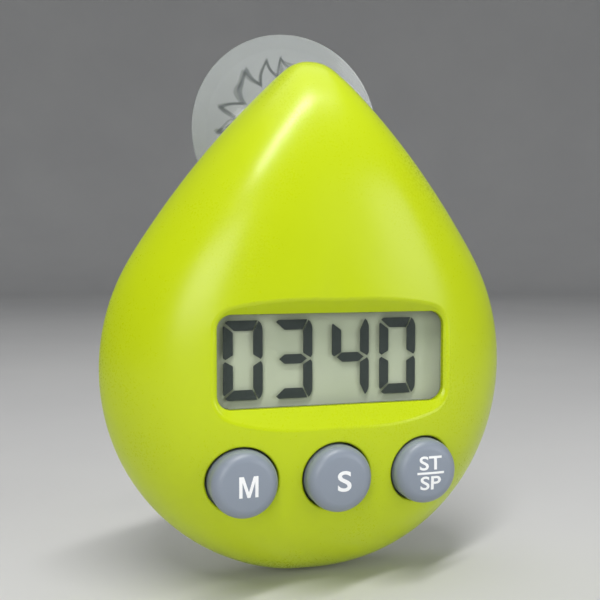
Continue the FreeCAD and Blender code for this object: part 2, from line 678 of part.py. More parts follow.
def zebra_strips():
    strips = []
    for side in (-1, 1):
        middle = WINDOW_Z + side * ZEBRA_Z
        strips.append(box(-ZEBRA_WIDTH / 2, ZEBRA_WIDTH / 2, GLASS_Y + GLASS_THICK, BOARD_Y,
                          middle - ZEBRA_THICK / 2, middle + ZEBRA_THICK / 2))
    return Part.makeCompound(strips)


def lcd_frame():
    grown = 2 * FIT + 2 * FRAME_WALL
    frame = plate(GLASS_WIDTH + grown, GLASS_HEIGHT + grown, GLASS_Y, BOARD_Y - GLASS_Y)
    frame = frame.cut(plate(GLASS_WIDTH + 2 * FIT, GLASS_HEIGHT + 2 * FIT, GLASS_Y,
                            FRAME_PLATE_Y - GLASS_Y))
    frame = frame.cut(plate(GLASS_WIDTH + 2 * FIT, GLASS_HEIGHT + 2 * FIT,
                            FRAME_PLATE_Y + FRAME_WALL, 9))
    for side in (-1, 1):
        middle = WINDOW_Z + side * ZEBRA_Z
        half = ZEBRA_THICK / 2 + FIT
        frame = frame.cut(box(-ZEBRA_WIDTH / 2 - FIT, ZEBRA_WIDTH / 2 + FIT, GLASS_Y, 0,
                              middle - half, middle + half))
    return frame


# ---------------------------------------------------------------- circuit board
def circuit_board():
    middle = BOTTOM_Z + (BOARD_TOP_UP + BOARD_BOTTOM_UP) / 2
    board = round_rect(BOARD_WIDTH, BOARD_TOP_UP - BOARD_BOTTOM_UP, BOARD_CORNER, BOARD_Y,
                       BOARD_BACK_Y, middle)
    for x, z in board_screw_places():
        board = board.cut(rod(BOARD_SCREW_R + SCREW_HOLE_GAP, BOARD_Y - 1, 0, x, z))
    return board


def chip_blob():
    """Epoxy drop over the bonded chip."""
    middle = V(0, BOARD_BACK_Y + BLOB_RISE - BLOB_BALL_R, WINDOW_Z + 4)
    ball = Part.makeSphere(BLOB_BALL_R, middle)
    return ball.common(rod(BLOB_BALL_R, BOARD_BACK_Y, 0, 0, middle.z))


def crystal_can():
    return Part.makeCylinder(1.0, 6.0, V(-16.0, BOARD_BACK_Y + 1.0, WINDOW_Z - 3), V(0, 0, 1))


def chips(size, places):
    length, width, height = size
    return Part.makeCompound([
        box(x - length / 2, x + length / 2, BOARD_BACK_Y, BOARD_BACK_Y + height,
            z - width / 2, z + width / 2) for x, z in places])


def switch_base(x):
    half = SWITCH_SIZE / 2
    base = box(x - half, x + half, SWITCH_TOP_Y, BOARD_Y, BUTTON_Z - half, BUTTON_Z + half)
    base = base.cut(rod(CHAMBER_R, SWITCH_TOP_Y + SWITCH_SKIN, BOARD_Y - SWITCH_SKIN, x, BUTTON_Z))
    return base.cut(rod(PLUNGER_R + PLUNGER_FIT, SWITCH_TOP_Y - 1, BOARD_Y - SWITCH_SKIN, x,
                        BUTTON_Z))


def snap_dome(x):
    foot, top = BOARD_Y - SWITCH_SKIN, DOME_TOP_Y
    return turned([(0, top), (DOME_R * 0.55, top + DOME_RISE * 0.2), (DOME_R, foot),
                   (DOME_R - 2 * DOME_SKIN, foot), (DOME_R * 0.5, top + DOME_RISE * 0.2 + DOME_SKIN),
                   (0, top + DOME_SKIN)], x, BUTTON_Z)


def plunger(x):
    return joined(rod(PLUNGER_R, STEM_Y, PLUNGER_END_Y, x, BUTTON_Z),
                  rod(PLUNGER_FLANGE_R, PLUNGER_END_Y - 0.3, PLUNGER_END_Y, x, BUTTON_Z))


def button(x):
    """Key cap: rounded top, straight body, retaining flange and a short stem."""
    top = front_skin_y(x, BUTTON_Z) - BUTTON_STAND
    shoulder = top + BUTTON_CROWN
    side = shoulder + BUTTON_SHOULDER
    bend = (BUTTON_FLAT_R + (BUTTON_R - BUTTON_FLAT_R) * 0.72, shoulder + BUTTON_SHOULDER * 0.3)
    path = [(0, top), (BUTTON_FLAT_R * 0.55, top + BUTTON_CROWN * 0.25), (BUTTON_FLAT_R, shoulder),
            bend, (BUTTON_R, side)]
    flange_r = HOLE_R + FLANGE_OVERLAP
    rest = [(BUTTON_R, BUTTON_FLANGE_Y), (flange_r, BUTTON_FLANGE_Y), (flange_r, BUTTON_BACK_Y),
            (STEM_R, BUTTON_BACK_Y), (STEM_R, STEM_Y), (0, STEM_Y)]

    def at(point):
        return V(x + point[0], point[1], BUTTON_Z)

    edges = [Part.Arc(at(path[0]), at(path[1]), at(path[2])).toShape(),
             Part.Arc(at(path[2]), at(path[3]), at(path[4])).toShape()]
    corners = [path[4]] + rest + [path[0]]
    for a, b in zip(corners, corners[1:]):
        edges.append(Part.makeLine(at(a), at(b)))
    return Part.Face(Part.Wire(edges)).revolve(V(x, 0, BUTTON_Z), V(0, 1, 0), 360)


# ---------------------------------------------------------------- screws, sounder, wires
def case_screw(x, z):
    head = rod(SCREW_HEAD_R, HEAD_SEAT_Y, HEAD_SEAT_Y + SCREW_HEAD_THICK, x, z)
    rim = [e for e in head.Edges if e.BoundBox.YMin > HEAD_SEAT_Y + SCREW_HEAD_THICK - 0.01]
    head = head.makeFillet(0.6, rim)
    return cross_cut(joined(head, rod(SCREW_R, HEAD_SEAT_Y - SCREW_LENGTH, HEAD_SEAT_Y, x, z)),
                     HEAD_SEAT_Y + SCREW_HEAD_THICK, SCREW_HEAD_R * 0.55, x, z)


def board_screw(x, z):
    head = rod(BOARD_SCREW_HEAD_R, BOARD_BACK_Y, BOARD_BACK_Y + BOARD_SCREW_HEAD, x, z)
    shank = rod(BOARD_SCREW_R, BOARD_BACK_Y - BOARD_SCREW_LENGTH, BOARD_BACK_Y, x, z)
    return cross_cut(joined(head, shank), BOARD_BACK_Y + BOARD_SCREW_HEAD,
                     BOARD_SCREW_HEAD_R * 0.55, x, z)


def cross_cut(screw, y, reach, x, z):
    """Cross recess in a screw's head."""
    for wide, tall in ((reach, reach / 4), (reach / 4, reach)):
        screw = screw.cut(box(x - wide, x + wide, y - 0.6, y + 1, z - tall, z + tall))
    return screw


def wire(points):
    path = Part.BSplineCurve()
    away = V(0, -1, 0)
    path.interpolate(Points=[V(*p) for p in points], InitialTangent=away, FinalTangent=away)
    spine = Part.Wire(path.toShape())
    profile = Part.Wire(Part.Circle(V(*points[0]), away, WIRE_R).toShape())
    return spine.makePipeShell([profile], True, False)


def battery_wires():
    tail_y = FLOOR_Y - TAIL_LENGTH
    reach = CELL_R - 2 - CONTACT_THICK / 2
    out = -CELL_R - CONTACT_THICK / 2
    return Part.makeCompound([
        wire([(out, tail_y, BATTERY_Z), (out, tail_y - 2, BATTERY_Z),
              (out - 2, BOARD_BACK_Y + 3, BATTERY_Z + 5), (out - 2, BOARD_BACK_Y, BATTERY_Z + 6)]),
        wire([(reach, tail_y, BATTERY_Z), (reach, tail_y - 2, BATTERY_Z),
              (reach + 2, BOARD_BACK_Y + 3, BATTERY_Z + 5),
              (reach + 2, BOARD_BACK_Y, BATTERY_Z + 6)])])


def sounder_wires():
    ceramic_y = SOUNDER_Y - SOUNDER_PLATE - CERAMIC_THICK
    plate_y = SOUNDER_Y - SOUNDER_PLATE
    return Part.makeCompound([
        wire([(3, ceramic_y, SOUNDER_Z - 3), (3, ceramic_y - 3, SOUNDER_Z - 3.5),
              (7, BOARD_BACK_Y + 3, SOUNDER_Z - 5), (7, BOARD_BACK_Y, SOUNDER_Z - 5)]),
        wire([(-6.2, plate_y, SOUNDER_Z - 5.5), (-6.2, plate_y - 3, SOUNDER_Z - 5.5),
              (-8, BOARD_BACK_Y + 3, SOUNDER_Z - 5), (-8, BOARD_BACK_Y, SOUNDER_Z - 5)])])


# ---------------------------------------------------------------- suction cup
def suction_cup():
    """Soft cup with a spacing shoulder, a neck to swivel on and a snap-in head."""
    land = CUP_R - CUP_LAND
    shoulder_y = BACK_Y + AXIAL_GAP

    def at(r, y):
        return V(r, y, 0)

    edges = [Part.Arc(at(0, -CUP_HOLLOW), at(land * 0.55, -CUP_HOLLOW * 0.72), at(land, 0)).toShape()]
    corners = [(land, 0), (CUP_R, 0), (CUP_R, -CUP_EDGE)]
    edges += [Part.makeLine(at(*a), at(*b)) for a, b in zip(corners, corners[1:])]
    middle = ((CUP_R + SHOULDER_R) / 2, -(CUP_EDGE + (CUP_BACK - CUP_EDGE) * 0.36))
    edges.append(Part.Arc(at(CUP_R, -CUP_EDGE), at(*middle), at(SHOULDER_R, -CUP_BACK)).toShape())
    corners = [(SHOULDER_R, -CUP_BACK), (SHOULDER_R, shoulder_y), (NECK_R, shoulder_y),
               (NECK_R, HEAD_Y), (HEAD_R, HEAD_Y), (HEAD_R, HEAD_END_Y + 0.6),
               (HEAD_R - 0.6, HEAD_END_Y), (0, HEAD_END_Y), (0, -CUP_HOLLOW)]
    edges += [Part.makeLine(at(*a), at(*b)) for a, b in zip(corners, corners[1:])]
    return Part.Face(Part.Wire(edges)).revolve(V(0, 0, 0), V(0, 1, 0), 360)


# ---------------------------------------------------------------- export
os.makedirs("parts", exist_ok=True)
export("front_shell", front_shell())
export("rear_cover", rear_cover())
export("case_seal", case_seal())
export("battery_door", battery_door())
export("door_oring", door_oring())
export("battery_cell", coin_cell())
export("contact_negative", contact_negative())
export("contact_positive", contact_positive())
export("display_lens", display_lens())
export("lens_tape", lens_tape())
export("lcd_front_glass", plate(GLASS_WIDTH, GLASS_HEIGHT, GLASS_Y, GLASS_THICK))
export("lcd_crystal_layer", plate(GLASS_WIDTH - 1, REAR_GLASS_HEIGHT - 1, GLASS_Y + GLASS_THICK,
                                  CELL_GAP))
export("lcd_rear_glass", plate(GLASS_WIDTH, REAR_GLASS_HEIGHT, REAR_GLASS_Y, GLASS_THICK))
export("lcd_reflector", plate(GLASS_WIDTH, REAR_GLASS_HEIGHT, REFLECTOR_Y, REFLECTOR_THICK))
export("lcd_frame", lcd_frame())
export("zebra_strips", zebra_strips())
export("circuit_board", circuit_board())
export("chip_blob", chip_blob())
export("crystal_can", crystal_can())
export("chip_resistors", chips((2.0, 1.2, 0.5), [(12 + 3 * i, WINDOW_Z - 6) for i in range(4)]))
export("chip_capacitors", chips((2.0, 1.3, 0.9), [(-9, WINDOW_Z + 1), (-9, WINDOW_Z - 2),
                                                   (14, WINDOW_Z + 2)]))
export("switch_bases", Part.makeCompound([switch_base(x) for x in BUTTONS.values()]))
export("snap_domes", Part.makeCompound([snap_dome(x) for x in BUTTONS.values()]))
for name, x in BUTTONS.items():
    export(name + "_button", button(x))
    export(name + "_plunger", plunger(x))
export("case_screws", Part.makeCompound([case_screw(x, z) for x, z in mirrored(SCREW_PLACES)]))
export("board_screws", Part.makeCompound([board_screw(x, z) for x, z in board_screw_places()]))
export("sounder_plate", rod(SOUNDER_R, SOUNDER_Y - SOUNDER_PLATE, SOUNDER_Y, 0, SOUNDER_Z))
export("sounder_ceramic", rod(CERAMIC_R, SOUNDER_Y - SOUNDER_PLATE - CERAMIC_THICK,
                              SOUNDER_Y - SOUNDER_PLATE, 0, SOUNDER_Z))
export("battery_wires", battery_wires())
export("sounder_wires", sounder_wires())
export("suction_cup", suction_cup())
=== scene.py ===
import math

import bmesh
import bpy
from mathutils import Matrix, Vector
from mathutils.bvhtree import BVHTree


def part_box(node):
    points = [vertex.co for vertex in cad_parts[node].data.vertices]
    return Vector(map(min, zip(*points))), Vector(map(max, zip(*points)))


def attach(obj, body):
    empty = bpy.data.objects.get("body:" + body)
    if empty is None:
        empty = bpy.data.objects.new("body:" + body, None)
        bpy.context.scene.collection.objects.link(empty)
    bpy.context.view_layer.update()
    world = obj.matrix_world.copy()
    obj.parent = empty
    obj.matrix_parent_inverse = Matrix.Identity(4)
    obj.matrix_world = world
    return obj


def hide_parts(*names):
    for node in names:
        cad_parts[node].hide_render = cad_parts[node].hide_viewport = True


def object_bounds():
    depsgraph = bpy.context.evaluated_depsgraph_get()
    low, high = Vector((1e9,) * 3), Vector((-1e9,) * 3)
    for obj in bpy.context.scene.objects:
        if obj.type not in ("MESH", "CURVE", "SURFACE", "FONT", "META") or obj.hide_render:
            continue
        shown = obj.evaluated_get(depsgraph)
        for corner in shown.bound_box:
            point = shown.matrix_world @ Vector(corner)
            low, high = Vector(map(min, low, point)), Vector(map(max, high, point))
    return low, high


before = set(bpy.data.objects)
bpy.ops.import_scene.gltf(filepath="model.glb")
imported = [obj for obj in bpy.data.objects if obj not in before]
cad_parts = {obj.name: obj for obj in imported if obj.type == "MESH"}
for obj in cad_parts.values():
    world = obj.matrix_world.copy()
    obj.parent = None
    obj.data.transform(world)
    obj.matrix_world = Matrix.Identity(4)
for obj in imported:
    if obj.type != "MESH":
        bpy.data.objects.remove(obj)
CAD_BOX = [[c for c in corner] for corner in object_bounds()]
MM = 0.001


# ---------------------------------------------------------------- node helpers
def link(tree, out, into):
    tree.links.new(out, into)


def node(tree, kind, **settings):
    made = tree.nodes.new(kind)
    for key, value in settings.items():
        setattr(made, key, value)
    return made


def math_node(tree, operation, a, b=None):
    made = node(tree, "ShaderNodeMath", operation=operation)
    for socket, value in zip(made.inputs, (a, b)):
        if value is None:
            continue
        if isinstance(value, (int, float)):
            socket.default_value = value
        else:
            link(tree, value, socket)
    return made.outputs[0]


def noise(tree, vector, scale, detail=3.0, rough=0.55, distortion=0.0):
    made = node(tree, "ShaderNodeTexNoise")
    made.inputs["Scale"].default_value = scale
    made.inputs["Detail"].default_value = detail
    made.inputs["Roughness"].default_value = rough
    made.inputs["Distortion"].default_value = distortion
    link(tree, vector, made.inputs["Vector"])
    return made.outputs["Fac"]


def ramp(tree, value, stops):
    made = node(tree, "ShaderNodeValToRGB")
    elements = made.color_ramp.elements
    while len(elements) < len(stops):
        elements.new(0.5)
    for element, (place, colour) in zip(elements, stops):
        element.position = place
        element.color = (*colour, 1.0)
    link(tree, value, made.inputs[0])
    return made.outputs[0]


def spread(tree, value, low, high):
    made = node(tree, "ShaderNodeMapRange")
    made.inputs["To Min"].default_value = low
    made.inputs["To Max"].default_value = high
    link(tree, value, made.inputs["Value"])
    return made.outputs[0]


def linear(r, g, b):
    """Linear colour from 8-bit display values."""
    def one(c):
        c /= 255
        return c / 12.92 if c <= 0.04045 else ((c + 0.055) / 1.055) ** 2.4
    return (one(r), one(g), one(b))


def add_inputs(tree, sockets):
    """Gives a group its inputs, each with its name, kind and starting value."""
    for name, kind, value in sockets:
        socket = tree.interface.new_socket(name, in_out="INPUT", socket_type=kind)
        if value is not None:
            socket.default_value = value


def add_outputs(tree, sockets):
    """Gives a group its outputs, each with its name and kind."""
    for name, kind in sockets:
        tree.interface.new_socket(name, in_out="OUTPUT", socket_type=kind)


# ---------------------------------------------------------------- shared effects
SURFACE_OUTPUTS = (("Colour", "NodeSocketColor"), ("Roughness", "NodeSocketFloat"),
                   ("Height", "NodeSocketFloat"))


def moulded_surface_group():
    """Moulded plastic or rubber: faint colour drift, uneven gloss and fine spark-eroded grain."""
    tree = bpy.data.node_groups.new("moulded surface", "ShaderNodeTree")
    add_inputs(tree, (("Colour", "NodeSocketColor", (0.5, 0.5, 0.5, 1)),
                      ("Drift", "NodeSocketFloat", 0.05),
                      ("Drift Scale", "NodeSocketFloat", 45.0),
                      ("Grain Scale", "NodeSocketFloat", 2600.0),
                      ("Roughness", "NodeSocketFloat", 0.35),
                      ("Roughness Spread", "NodeSocketFloat", 0.06)))
    add_outputs(tree, SURFACE_OUTPUTS)
    inp = node(tree, "NodeGroupInput")
    out = node(tree, "NodeGroupOutput")
    where = node(tree, "ShaderNodeTexCoord").outputs["Object"]
    drift = node(tree, "ShaderNodeTexNoise")
    drift.inputs["Detail"].default_value = 4.0
    link(tree, where, drift.inputs["Vector"])
    link(tree, inp.outputs["Drift Scale"], drift.inputs["Scale"])
    swing = math_node(tree, "SUBTRACT", drift.outputs["Fac"], 0.5)
    gain = math_node(tree, "ADD", math_node(tree, "MULTIPLY", swing, inp.outputs["Drift"]), 1.0)
    tint = node(tree, "ShaderNodeHueSaturation")
    link(tree, inp.outputs["Colour"], tint.inputs["Color"])
    link(tree, gain, tint.inputs["Value"])
    link(tree, tint.outputs[0], out.inputs["Colour"])
    grain = node(tree, "ShaderNodeTexNoise")
    grain.inputs["Detail"].default_value = 2.0
    link(tree, where, grain.inputs["Vector"])
    link(tree, inp.outputs["Grain Scale"], grain.inputs["Scale"])
    uneven = math_node(tree, "MULTIPLY", math_node(tree, "SUBTRACT", drift.outputs["Fac"], 0.5),
                       inp.outputs["Roughness Spread"])
    patchy = math_node(tree, "MULTIPLY", math_node(tree, "SUBTRACT", grain.outputs["Fac"], 0.5),
                       inp.outputs["Roughness Spread"])
    rough = math_node(tree, "ADD", inp.outputs["Roughness"], math_node(tree, "ADD", uneven, patchy))
    link(tree, rough, out.inputs["Roughness"])
    link(tree, grain.outputs["Fac"], out.inputs["Height"])
    return tree


def brushed_group():
    """Metal with fine lines along one direction."""
    tree = bpy.data.node_groups.new("brushed metal", "ShaderNodeTree")
    add_inputs(tree, (("Colour", "NodeSocketColor", (0.6, 0.6, 0.6, 1)),
                      ("Line Scale", "NodeSocketFloat", 900.0),
                      ("Roughness", "NodeSocketFloat", 0.3)))
    add_outputs(tree, SURFACE_OUTPUTS)
    inp = node(tree, "NodeGroupInput")
    out = node(tree, "NodeGroupOutput")
    place = node(tree, "ShaderNodeMapping")
    place.inputs["Scale"].default_value = (0.05, 1.0, 1.0)
    link(tree, node(tree, "ShaderNodeTexCoord").outputs["Object"], place.inputs["Vector"])
    lines = node(tree, "ShaderNodeTexNoise")
    lines.inputs["Detail"].default_value = 4.0
    link(tree, place.outputs[0], lines.inputs["Vector"])
    link(tree, inp.outputs["Line Scale"], lines.inputs["Scale"])
    shade = node(tree, "ShaderNodeHueSaturation")
    link(tree, inp.outputs["Colour"], shade.inputs["Color"])
    link(tree, spread(tree, lines.outputs["Fac"], 0.82, 1.1), shade.inputs["Value"])
    link(tree, shade.outputs[0], out.inputs["Colour"])
    offset = spread(tree, lines.outputs["Fac"], -0.1, 0.12)
    link(tree, math_node(tree, "ADD", inp.outputs["Roughness"], offset), out.inputs["Roughness"])
    link(tree, lines.outputs["Fac"], out.inputs["Height"])
    return tree


MOULDED = moulded_surface_group()
BRUSHED = brushed_group()
GRAIN_DEPTH = 0.00004
LINE_DEPTH = 0.00003


def blank(name):
    """A new material, its node tree and its shader."""
    material = bpy.data.materials.new(name)
    material.use_nodes = True
    tree = material.node_tree
    return material, tree, tree.nodes["Principled BSDF"]


def bumped(tree, shader, height, strength, distance):
    bump = node(tree, "ShaderNodeBump")
    bump.inputs["Strength"].default_value = strength
    bump.inputs["Distance"].default_value = distance
    link(tree, height, bump.inputs["Height"])
    link(tree, bump.outputs[0], shader.inputs["Normal"])


def plastic(name, colour, roughness, drift=0.06, grain=2600.0, bump=0.12, coat=0.0, spec=0.5,
            drift_scale=45.0, spread_of=0.06):
    """Moulded plastic or rubber with the shared surface effect."""
    material, tree, shader = blank(name)
    surface = node(tree, "ShaderNodeGroup", node_tree=MOULDED)
    surface.inputs["Colour"].default_value = (*colour, 1.0)
    surface.inputs["Drift"].default_value = drift
    surface.inputs["Drift Scale"].default_value = drift_scale
    surface.inputs["Grain Scale"].default_value = grain
    surface.inputs["Roughness"].default_value = roughness
    surface.inputs["Roughness Spread"].default_value = spread_of
    link(tree, surface.outputs["Colour"], shader.inputs["Base Color"])
    link(tree, surface.outputs["Roughness"], shader.inputs["Roughness"])
    shader.inputs["Coat Weight"].default_value = coat
    shader.inputs["Coat Roughness"].default_value = 0.12
    shader.inputs["Specular IOR Level"].default_value = spec
    bumped(tree, shader, surface.outputs["Height"], bump, GRAIN_DEPTH)
    return material


def metal(name, colour, roughness=0.3, lines=900.0):
    """Metal with the shared brushed effect."""
    material, tree, shader = blank(name)
    surface = node(tree, "ShaderNodeGroup", node_tree=BRUSHED)
    surface.inputs["Colour"].default_value = (*colour, 1.0)
    surface.inputs["Line Scale"].default_value = lines
    surface.inputs["Roughness"].default_value = roughness
    link(tree, surface.outputs["Colour"], shader.inputs["Base Color"])
    link(tree, surface.outputs["Roughness"], shader.inputs["Roughness"])
    shader.inputs["Metallic"].default_value = 1.0
    bumped(tree, shader, surface.outputs["Height"], 0.1, LINE_DEPTH)
    return material


HEAD_ON_REFLECTION = 0.04
GRAZING_REFLECTION = 0.9
GRAZING_POWER = 5.0


def pane(name, tint, shine, roughness):
    """Thin clear sheet: it lets everything behind it show and adds its own faint reflection."""
    material, tree, shader = blank(name)
    where = node(tree, "ShaderNodeTexCoord").outputs["Object"]
    smear = noise(tree, where, 60.0, detail=5.0, rough=0.6, distortion=0.4)
    link(tree, spread(tree, smear, roughness * 0.5, roughness * 1.6), shader.inputs["Roughness"])
    shader.inputs["Base Color"].default_value = (0.02, 0.025, 0.02, 1.0)
    shader.inputs["IOR"].default_value = 1.49
    clear = node(tree, "ShaderNodeBsdfTransparent")
    clear.inputs["Color"].default_value = (*tint, 1.0)
    slant = node(tree, "ShaderNodeLayerWeight").outputs["Facing"]
    rise = math_node(tree, "MULTIPLY", math_node(tree, "POWER", slant, GRAZING_POWER),
                     GRAZING_REFLECTION)
    amount = math_node(tree, "MULTIPLY", math_node(tree, "ADD", rise, HEAD_ON_REFLECTION), shine)
    mix = node(tree, "ShaderNodeMixShader")
    link(tree, amount, mix.inputs[0])
    link(tree, clear.outputs[0], mix.inputs[1])
    link(tree, shader.outputs[0], mix.inputs[2])
    link(tree, mix.outputs[0], tree.nodes["Material Output"].inputs["Surface"])
    return material


# ---------------------------------------------------------------- materials
CONTACT_RADIUS = 0.0108
CONTACT_LINE_CORE = 0.0003
CONTACT_LINE_EDGE = 0.0009
ZIGZAGS_PER_RADIAN = 2.6
ZIGZAG_RANDOMNESS = 2.2
ZIGZAG_PEAK = 0.55
ZIGZAG_DEPTH = 0.0075


def cup_material():
    """Clear soft vinyl with a dark ragged line where the damp cup grips the wall."""
    material, tree, shader = blank("clear vinyl")
    coords = node(tree, "ShaderNodeTexCoord").outputs["Object"]
    split = node(tree, "ShaderNodeSeparateXYZ")
    link(tree, coords, split.inputs[0])
    x, _, z = split.outputs
    radius = math_node(tree, "SQRT", math_node(tree, "ADD", math_node(tree, "MULTIPLY", x, x),
                                               math_node(tree, "MULTIPLY", z, z)))
    ragged = noise(tree, coords, 95.0, detail=1.0, rough=0.4, distortion=0.3)
    around = math_node(tree, "MULTIPLY", math_node(tree, "ARCTAN2", z, x),
                       ZIGZAGS_PER_RADIAN)
    jumbled = math_node(tree, "ADD", around,
                        math_node(tree, "MULTIPLY", ragged, ZIGZAG_RANDOMNESS))
    zigzag = math_node(tree, "PINGPONG", jumbled, ZIGZAG_PEAK)
    wavy = math_node(tree, "SUBTRACT", radius,
                     math_node(tree, "MULTIPLY", zigzag, ZIGZAG_DEPTH))
    off_line = math_node(tree, "ABSOLUTE", math_node(tree, "SUBTRACT", wavy, CONTACT_RADIUS))
    band = node(tree, "ShaderNodeMapRange", interpolation_type="SMOOTHSTEP")
    band.inputs["From Min"].default_value = CONTACT_LINE_CORE
    band.inputs["From Max"].default_value = CONTACT_LINE_EDGE
    band.inputs["To Min"].default_value = 1.0
    band.inputs["To Max"].default_value = 0.0
    link(tree, off_line, band.inputs["Value"])
    tint = node(tree, "ShaderNodeMix", data_type="RGBA")
    link(tree, band.outputs[0], tint.inputs["Factor"])
    tint.inputs["A"].default_value = (0.80, 0.83, 0.83, 1)
    tint.inputs["B"].default_value = (0.30, 0.33, 0.33, 1)
    link(tree, tint.outputs["Result"], shader.inputs["Base Color"])
    film = noise(tree, coords, 420.0, detail=4.0)
    link(tree, spread(tree, film, 0.06, 0.2), shader.inputs["Roughness"])
    shader.inputs["Transmission Weight"].default_value = 0.82
    shader.inputs["IOR"].default_value = 1.45
    bumped(tree, shader, ragged, 0.25, 0.0002)
    clear = node(tree, "ShaderNodeBsdfTransparent")
    clear.inputs["Color"].default_value = (0.82, 0.84, 0.84, 1.0)
    path = node(tree, "ShaderNodeLightPath")
    mix = node(tree, "ShaderNodeMixShader")
    link(tree, path.outputs["Is Shadow Ray"], mix.inputs[0])
    link(tree, shader.outputs[0], mix.inputs[1])
    link(tree, clear.outputs[0], mix.inputs[2])
    link(tree, mix.outputs[0], tree.nodes["Material Output"].inputs["Surface"])
    return material


def board_material():
    """Green solder mask with raised copper runs and tinned pads."""
    material, tree, shader = blank("solder mask")
    coords = node(tree, "ShaderNodeTexCoord").outputs["Object"]
    flat = node(tree, "ShaderNodeMapping")
    flat.inputs["Rotation"].default_value = (math.radians(90), 0, 0)
    link(tree, coords, flat.inputs["Vector"])
    runs = node(tree, "ShaderNodeTexBrick")
    runs.inputs["Scale"].default_value = 210.0
    runs.inputs["Mortar Size"].default_value = 0.09
    runs.inputs["Color1"].default_value = (0.012, 0.10, 0.035, 1)
    runs.inputs["Color2"].default_value = (0.016, 0.13, 0.045, 1)
    runs.inputs["Mortar"].default_value = (0.03, 0.24, 0.08, 1)
    link(tree, flat.outputs[0], runs.inputs["Vector"])
    pads = node(tree, "ShaderNodeTexVoronoi", feature="F1")
    pads.inputs["Scale"].default_value = 260.0
    link(tree, coords, pads.inputs["Vector"])
    dot = ramp(tree, pads.outputs["Distance"],
               ((0.0, (1, 1, 1)), (0.14, (1, 1, 1)), (0.17, (0, 0, 0))))
    mix = node(tree, "ShaderNodeMix", data_type="RGBA")
    link(tree, dot, mix.inputs["Factor"])
    link(tree, runs.outputs["Color"], mix.inputs["A"])
    mix.inputs["B"].default_value = (0.62, 0.60, 0.55, 1)
    link(tree, mix.outputs["Result"], shader.inputs["Base Color"])
    link(tree, spread(tree, noise(tree, coords, 300.0), 0.22, 0.42), shader.inputs["Roughness"])
    bumped(tree, shader, runs.outputs["Fac"], 0.3, 0.00005)
    return material


REFLECTOR_DARK = linear(196, 203, 180)
REFLECTOR_LIGHT = linear(216, 221, 200)


def reflector_material():
    """Grey green reflective film with a fine sparkle."""
    material, tree, shader = blank("display reflector")
    coords = node(tree, "ShaderNodeTexCoord").outputs["Object"]
    fine = noise(tree, coords, 5200.0, detail=2.0)
    slow = noise(tree, coords, 55.0, detail=2.0)
    both = math_node(tree, "ADD", math_node(tree, "MULTIPLY", fine, 0.35),
                     math_node(tree, "MULTIPLY", slow, 0.65))
    colour = ramp(tree, both, ((0.3, REFLECTOR_DARK), (0.7, REFLECTOR_LIGHT)))
    link(tree, colour, shader.inputs["Base Color"])
    link(tree, spread(tree, fine, 0.5, 0.8), shader.inputs["Roughness"])
    bumped(tree, shader, fine, 0.2, 0.00003)
    return material


LIME = (0.515, 0.640, 0.0020)
lime = plastic("lime shell plastic", LIME, 0.28, drift=0.05, bump=0.012, spec=0.45, spread_of=0.03)
lime_back = plastic("lime cover plastic", LIME, 0.42, drift=0.05, grain=1900.0, bump=0.3)
lime_door = plastic("lime door plastic", (0.47, 0.60, 0.003), 0.40, drift=0.05, bump=0.25)
key_grey = plastic("key grey plastic", linear(136, 145, 158), 0.36, drift=0.05, bump=0.1)
legend_white = plastic("legend ink", (0.90, 0.91, 0.92), 0.5, drift=0.04, grain=5000.0, bump=0.2)
segment_ink = plastic("dark segments", linear(52, 60, 60), 0.5, drift=0.12, grain=4000.0, bump=0.05)
black_plastic = plastic("black moulding", (0.018, 0.018, 0.020), 0.45, drift=0.2)
white_plastic = plastic("white moulding", (0.72, 0.72, 0.70), 0.45, drift=0.05)
grey_silicone = plastic("grey silicone", (0.28, 0.29, 0.29), 0.62, drift=0.1, bump=0.2)
black_rubber = plastic("black rubber", (0.022, 0.022, 0.022), 0.7, drift=0.2, bump=0.3)
tape_foam = plastic("tape foam", (0.03, 0.03, 0.03), 0.9, drift=0.3, grain=3500.0, bump=0.6)
epoxy = plastic("chip epoxy", (0.012, 0.012, 0.013), 0.22, drift=0.2, bump=0.05, drift_scale=200.0)
ceramic = plastic("fired ceramic", (0.60, 0.58, 0.50), 0.5, drift=0.12, grain=4200.0, bump=0.3)
chip_tan = plastic("capacitor ceramic", (0.42, 0.27, 0.14), 0.45, drift=0.15, drift_scale=600.0)
chip_black = plastic("resistor body", (0.02, 0.02, 0.024), 0.4, drift=0.25, drift_scale=900.0)
wire_red = plastic("wire jacket", (0.52, 0.02, 0.02), 0.38, drift=0.08, drift_scale=400.0)
steel = metal("bright steel", (0.62, 0.62, 0.60), 0.26)
zinc = metal("zinc screw", (0.56, 0.57, 0.60), 0.34, 1500.0)
brass = metal("brass plate", (0.72, 0.52, 0.22), 0.28, 700.0)
lens_clear = pane("lens acrylic", (0.955, 0.965, 0.955), 1.0, 0.03)
cell_clear = pane("display glass", (0.975, 0.985, 0.970), 0.25, 0.04)
vinyl = cup_material()
board = board_material()
reflector = reflector_material()

